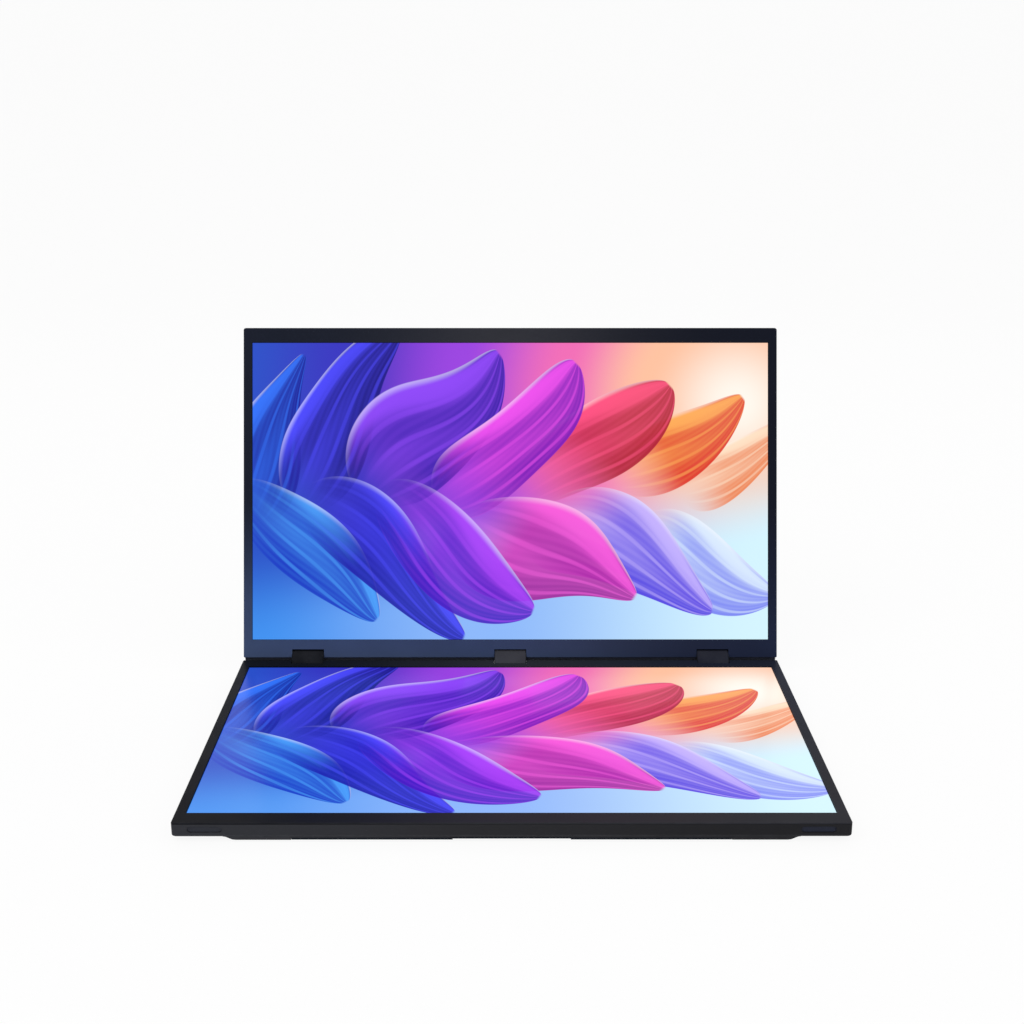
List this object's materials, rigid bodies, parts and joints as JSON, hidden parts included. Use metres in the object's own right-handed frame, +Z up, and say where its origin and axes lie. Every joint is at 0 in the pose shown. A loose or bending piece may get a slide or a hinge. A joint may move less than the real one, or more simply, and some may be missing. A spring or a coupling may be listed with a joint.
{
  "type": "laptop screen extender",
  "caption": "Folding portable double screen: a flat lower screen and an equal upper screen joined by link hinges, with a fold-out kickstand underneath",
  "frame": {"origin": "on the desk, under the middle of the outer box in the pose of use", "axes": "+X to the viewer's right along the hinges, +Y away from the viewer, +Z up"},
  "size_m": [0.3558, 0.2904, 0.2232],
  "materials": {
    "bezel": "glossy black bezel that mirrors the lit screen below it",
    "housing": "fine-textured dark grey moulding",
    "link": "satin dark grey paint on cast metal",
    "cable_link": "satin dark grey moulding",
    "display": "smooth dark display glass, lit from behind",
    "acrylic": "clear polished light guide",
    "lamp_strip": "white strip with yellow lamp windows",
    "sheet": "plain galvanised sheet",
    "steel": "plain steel",
    "board": "green solder mask with black chips",
    "speaker": "black moulding",
    "stand": "dark anodised sheet",
    "rubber": "dull black rubber",
    "button": "smooth black cap",
    "ribbon": "amber flexible film"
  },
  "bodies": {
    "lower_screen": {"lower_rear_cover": "housing", "main_board": "board", "board_shield": "sheet", "button_board": "board", "usb_c_socket_rear": "steel", "usb_c_socket_front": "steel", "mini_hdmi_socket": "steel", "audio_jack": "speaker", "speaker_right": "speaker", "speaker_left": "speaker", "kickstand_bracket_right": "steel", "kickstand_bracket_left": "steel", "foot_front_right": "rubber", "foot_rear_right": "rubber", "foot_front_left": "rubber", "foot_rear_left": "rubber", "lower_front_frame": "bezel", "lower_lcd_panel": "display", "lower_light_guide": "acrylic", "lower_led_strip": "lamp_strip", "lower_backlight_tray": "sheet", "lower_driver_board": "board", "lower_ribbon": "ribbon", "lower_hinge_bracket_left": "steel", "lower_hinge_bracket_right": "steel"},
    "hinge_links": {"hinge_link_left": "link", "hinge_link_right": "link", "cable_link": "cable_link", "link_ribbon": "ribbon", "lower_hinge_pin_left": "steel", "lower_hinge_pin_right": "steel", "upper_hinge_pin_left": "steel", "upper_hinge_pin_right": "steel"},
    "upper_screen": {"upper_rear_cover": "housing", "upper_front_frame": "bezel", "upper_lcd_panel": "display", "upper_light_guide": "acrylic", "upper_led_strip": "lamp_strip", "upper_backlight_tray": "sheet", "upper_driver_board": "board", "upper_ribbon": "ribbon", "upper_hinge_bracket_left": "steel", "upper_hinge_bracket_right": "steel"},
    "kickstand": {"kickstand_plate": "stand", "kickstand_pin_right": "steel", "kickstand_pin_left": "steel"},
    "power_button": {"power_button": "button"},
    "menu_button": {"menu_button": "button"},
    "select_button": {"select_button": "button"}
  },
  "joints": [
    {"name": "link_fold", "type": "hinge", "parent": "lower_screen", "child": "hinge_links", "pos_m": [0, 0.07176, 0.00875], "axis": [1, 0, 0], "range_deg": [-36.6, 53.3]},
    {"name": "screen_fold", "type": "hinge", "parent": "hinge_links", "child": "upper_screen", "pos_m": [0, 0.07975, 0.0147], "axis": [1, 0, 0], "range_deg": [-36.6, 53.3]},
    {"name": "kickstand_swing", "type": "hinge", "parent": "lower_screen", "child": "kickstand", "pos_m": [0, -0.04024, 0.0022], "axis": [1, 0, 0], "range_deg": [0, 80]},
    {"name": "power_button_press", "type": "slide", "parent": "lower_screen", "child": "power_button", "axis": [-1, 0, 0], "range_m": [0, 0.0005], "stiffness_N_per_m": 400, "springref_m": -0.0005},
    {"name": "menu_button_press", "type": "slide", "parent": "lower_screen", "child": "menu_button", "axis": [-1, 0, 0], "range_m": [0, 0.0005], "stiffness_N_per_m": 400, "springref_m": -0.0005},
    {"name": "select_button_press", "type": "slide", "parent": "lower_screen", "child": "select_button", "axis": [-1, 0, 0], "range_m": [0, 0.0005], "stiffness_N_per_m": 400, "springref_m": -0.0005}
  ],
  "couplings": [
    {"joint": "link_fold", "follows": "screen_fold", "ratio": 1}
  ]
}
